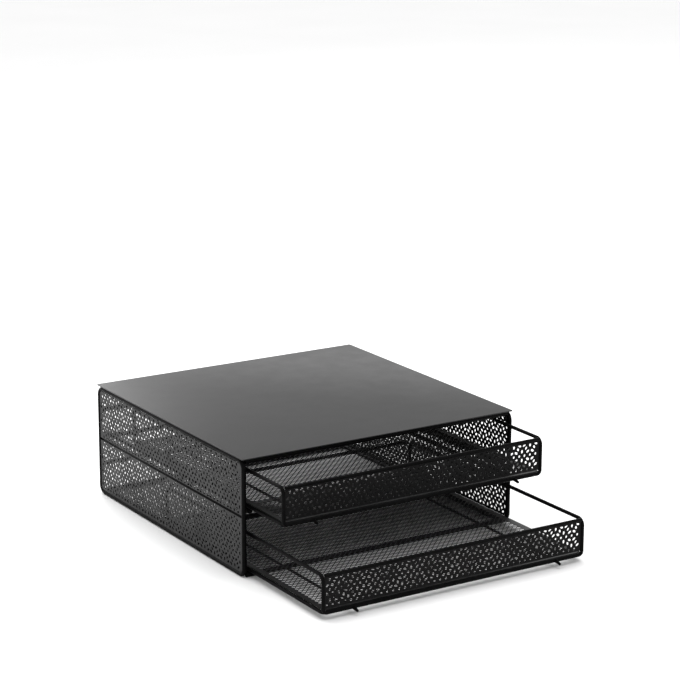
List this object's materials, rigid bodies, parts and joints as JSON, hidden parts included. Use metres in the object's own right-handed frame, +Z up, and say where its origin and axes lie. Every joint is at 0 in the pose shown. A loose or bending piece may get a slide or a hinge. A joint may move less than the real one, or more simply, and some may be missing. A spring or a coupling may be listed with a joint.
{
  "type": "coffee pod drawer",
  "caption": "Low black wire and perforated-sheet stand with a flat solid top and two stacked pull-out drawers with open sides and patterned perforated fronts.",
  "frame": {"origin": "on the table, in the middle of the housing's footprint", "axes": "+Z up; -Y is the way the drawers open; +X to the right of someone who faces the front"},
  "size_m": [0.338, 0.4779, 0.128],
  "materials": {
    "plate_coat": "satin black powder coat, smooth",
    "sheet_coat": "satin black powder coat on thin perforated steel",
    "wire_coat": "satin black powder coat on round steel wire"
  },
  "bodies": {
    "housing": {"front_bottom_rod": "wire_coat", "front_mid_rod": "wire_coat", "front_top_rod": "wire_coat", "left_lower_sheet": "sheet_coat", "left_mid_rail": "wire_coat", "left_side_loop": "wire_coat", "left_upper_sheet": "sheet_coat", "lower_left_runner": "wire_coat", "lower_right_runner": "wire_coat", "rear_bottom_rod": "wire_coat", "rear_high_rod": "wire_coat", "rear_low_rod": "wire_coat", "rear_mid_rod": "wire_coat", "rear_top_rod": "wire_coat", "right_lower_sheet": "sheet_coat", "right_mid_rail": "wire_coat", "right_side_loop": "wire_coat", "right_upper_sheet": "sheet_coat", "top_plate": "plate_coat", "upper_left_runner": "wire_coat", "upper_right_runner": "wire_coat"},
    "lower_drawer": {"lower_bottom_rim": "wire_coat", "lower_floor": "sheet_coat", "lower_front_sheet": "sheet_coat", "lower_front_top_wire": "wire_coat", "lower_left_side_wire": "wire_coat", "lower_left_stay": "wire_coat", "lower_left_stub": "wire_coat", "lower_rear_top_wire": "wire_coat", "lower_right_side_wire": "wire_coat", "lower_right_stay": "wire_coat", "lower_right_stub": "wire_coat"},
    "upper_drawer": {"upper_bottom_rim": "wire_coat", "upper_floor": "sheet_coat", "upper_front_sheet": "sheet_coat", "upper_front_top_wire": "wire_coat", "upper_left_side_wire": "wire_coat", "upper_left_stay": "wire_coat", "upper_left_stub": "wire_coat", "upper_rear_top_wire": "wire_coat", "upper_right_side_wire": "wire_coat", "upper_right_stay": "wire_coat", "upper_right_stub": "wire_coat"}
  },
  "joints": [
    {"name": "lower_drawer_slide", "type": "slide", "parent": "housing", "child": "lower_drawer", "axis": [0, -1, 0], "range_m": [-0.139, 0.111]},
    {"name": "upper_drawer_slide", "type": "slide", "parent": "housing", "child": "upper_drawer", "axis": [0, -1, 0], "range_m": [-0.064, 0.186]}
  ]
}
